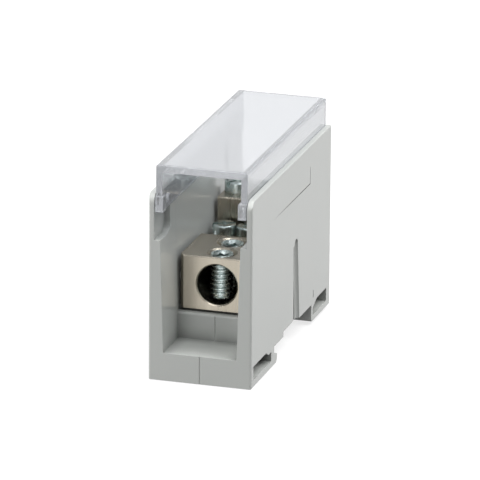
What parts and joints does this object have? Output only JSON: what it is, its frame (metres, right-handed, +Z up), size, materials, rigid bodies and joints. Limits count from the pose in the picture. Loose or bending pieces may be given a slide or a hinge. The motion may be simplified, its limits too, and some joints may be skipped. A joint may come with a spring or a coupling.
{
  "type": "power distribution block",
  "caption": "Rail-mounted power distribution block: light grey housing round a stepped plated-brass bar with clamping screws, under a hinged clear cover.",
  "frame": {"origin": "middle of the base, under the centre of the housing", "axes": "+X along the mounting rail, +Y from the supply side to the rear, +Z up"},
  "size_m": [0.029, 0.0754, 0.0605],
  "materials": {
    "grey_plastic": "moulded polyamide, fine satin",
    "clear_plastic": "moulded polycarbonate, clear and polished",
    "plated_brass": "extruded and milled brass, nickel plated",
    "zinc_steel": "cold-headed steel, zinc plated"
  },
  "bodies": {
    "housing": {"left_shell": "grey_plastic", "right_shell": "grey_plastic", "conductor_block": "plated_brass"},
    "cover": {"clear_cover": "clear_plastic"},
    "supply_screw_front": {"supply_screw_front": "zinc_steel"},
    "supply_screw_rear": {"supply_screw_rear": "zinc_steel"},
    "lower_screw_left": {"lower_screw_left": "zinc_steel"},
    "lower_screw_middle": {"lower_screw_middle": "zinc_steel"},
    "lower_screw_right": {"lower_screw_right": "zinc_steel"},
    "upper_screw_left": {"upper_screw_left": "zinc_steel"},
    "upper_screw_middle": {"upper_screw_middle": "zinc_steel"},
    "upper_screw_right": {"upper_screw_right": "zinc_steel"}
  },
  "joints": [
    {"name": "cover_hinge", "type": "hinge", "parent": "housing", "child": "cover", "pos_m": [0, -0.03245, 0.0501], "axis": [1, 0, 0], "range_deg": [0, 95]},
    {"name": "supply_screw_front_travel", "type": "slide", "parent": "housing", "child": "supply_screw_front", "axis": [0, 0, 1], "range_m": [0, 0.0095]},
    {"name": "supply_screw_rear_travel", "type": "slide", "parent": "housing", "child": "supply_screw_rear", "axis": [0, 0, 1], "range_m": [0, 0.0095]},
    {"name": "lower_screw_left_travel", "type": "slide", "parent": "housing", "child": "lower_screw_left", "axis": [0, 0, 1], "range_m": [0, 0.0052]},
    {"name": "lower_screw_middle_travel", "type": "slide", "parent": "housing", "child": "lower_screw_middle", "axis": [0, 0, 1], "range_m": [0, 0.0052]},
    {"name": "lower_screw_right_travel", "type": "slide", "parent": "housing", "child": "lower_screw_right", "axis": [0, 0, 1], "range_m": [0, 0.0052]},
    {"name": "upper_screw_left_travel", "type": "slide", "parent": "housing", "child": "upper_screw_left", "axis": [0, 0, 1], "range_m": [0, 0.0052]},
    {"name": "upper_screw_middle_travel", "type": "slide", "parent": "housing", "child": "upper_screw_middle", "axis": [0, 0, 1], "range_m": [0, 0.0052]},
    {"name": "upper_screw_right_travel", "type": "slide", "parent": "housing", "child": "upper_screw_right", "axis": [0, 0, 1], "range_m": [0, 0.0052]}
  ]
}
